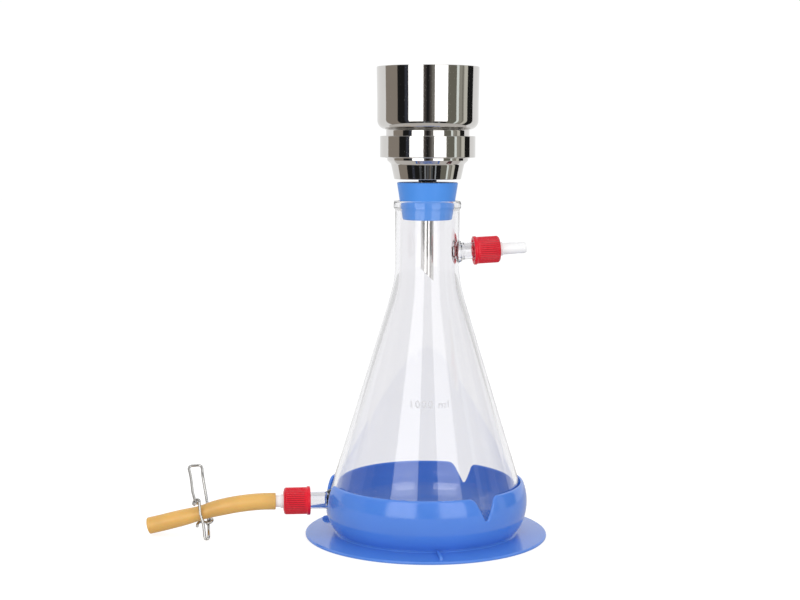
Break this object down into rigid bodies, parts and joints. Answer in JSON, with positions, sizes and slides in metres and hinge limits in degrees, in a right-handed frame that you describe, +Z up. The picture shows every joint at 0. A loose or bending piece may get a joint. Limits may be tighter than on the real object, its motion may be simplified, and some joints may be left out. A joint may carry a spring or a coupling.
{
  "type": "vacuum filtration flask with filter funnel",
  "caption": "Conical glass vacuum flask in a plastic foot bowl, with a stoppered steel filter funnel, capped side arms and a clipped drain hose.",
  "frame": {"origin": "centre of the stand's flat underside, on the flask's axis", "axes": "+Z up along the flask's axis; +X towards the upper (vacuum) side arm; the lower (drain) arm points along -X"},
  "size_m": [0.2743, 0.1658, 0.3188],
  "materials": {
    "blue_stand_plastic": "moulded, satin gloss",
    "clear_glass": "clear borosilicate, fire polished",
    "red_cap_plastic": "ribbed, satin",
    "white_silicone": "matte",
    "white_connector_plastic": "moulded, satin",
    "amber_hose_rubber": "smooth latex",
    "nickelled_wire": "nickel plated, bright",
    "blue_stopper_rubber": "smooth, matte",
    "black_rubber": "matte",
    "polished_steel": "mirror polished stainless",
    "sintered_steel": "sintered, matte",
    "white_membrane": "matte",
    "ptfe_gasket": "matte"
  },
  "bodies": {
    "root": {"flask_stand": "blue_stand_plastic", "flask_body": "clear_glass"},
    "stopper_and_base": {"rubber_stopper": "blue_stopper_rubber", "outlet_stem": "polished_steel", "stem_washer": "black_rubber", "funnel_base": "polished_steel", "support_frit": "sintered_steel", "frit_seal_ring": "white_silicone", "membrane_filter": "white_membrane", "cup_gasket": "ptfe_gasket"},
    "cup": {"funnel_cup": "polished_steel"},
    "ring": {"lock_ring": "polished_steel"},
    "upper_connector": {"upper_hose_connector": "white_connector_plastic", "upper_seal_ring": "white_silicone"},
    "upper_cap": {"upper_screw_cap": "red_cap_plastic"},
    "lower_connector": {"lower_hose_connector": "white_connector_plastic", "lower_seal_ring": "white_silicone", "drain_hose": "amber_hose_rubber", "clip_spring_wire": "nickelled_wire"},
    "lower_cap": {"lower_screw_cap": "red_cap_plastic"},
    "clip_bail": {"clip_bail_wire": "nickelled_wire"}
  },
  "joints": [
    {"name": "stopper_lift", "type": "slide", "parent": "root", "child": "stopper_and_base", "axis": [0, 0, 1], "range_m": [0, 0.09]},
    {"name": "cup_rise", "type": "slide", "parent": "stopper_and_base", "child": "cup", "axis": [0, 0, 1], "range_m": [0, 0.00901]},
    {"name": "lock_ring_turn", "type": "hinge", "parent": "cup", "child": "ring", "pos_m": [0, 0, 0.2655], "axis": [0, 0, 1], "range_deg": [0, 1080]},
    {"name": "upper_connector_slide", "type": "slide", "parent": "root", "child": "upper_connector", "axis": [0.9984, 0, 0.0558], "range_m": [0, 0.00876]},
    {"name": "upper_cap_turn", "type": "hinge", "parent": "upper_connector", "child": "upper_cap", "pos_m": [0, 0, 0.1935], "axis": [0.9984, 0, 0.0558], "range_deg": [0, 1260]},
    {"name": "lower_connector_slide", "type": "slide", "parent": "root", "child": "lower_connector", "axis": [-1, 0, 0], "range_m": [0, 0.00876]},
    {"name": "lower_cap_turn", "type": "hinge", "parent": "lower_connector", "child": "lower_cap", "pos_m": [0, 0, 0.0244], "axis": [-1, 0, 0], "range_deg": [0, 1260]},
    {"name": "clip_bail_swing", "type": "hinge", "parent": "lower_connector", "child": "clip_bail", "pos_m": [-0.157, -0.0006, 0.025], "axis": [-0.4238, -0.4774, 0.7697], "range_deg": [0, 25], "stiffness_Nm_per_rad": 0.02, "springref_deg": -17.19}
  ],
  "couplings": [
    {"joint": "cup_rise", "follows": "lock_ring_turn", "m_per_rad": 0.00047746},
    {"joint": "upper_connector_slide", "follows": "upper_cap_turn", "m_per_rad": 0.00039789},
    {"joint": "lower_connector_slide", "follows": "lower_cap_turn", "m_per_rad": 0.00039789}
  ]
}
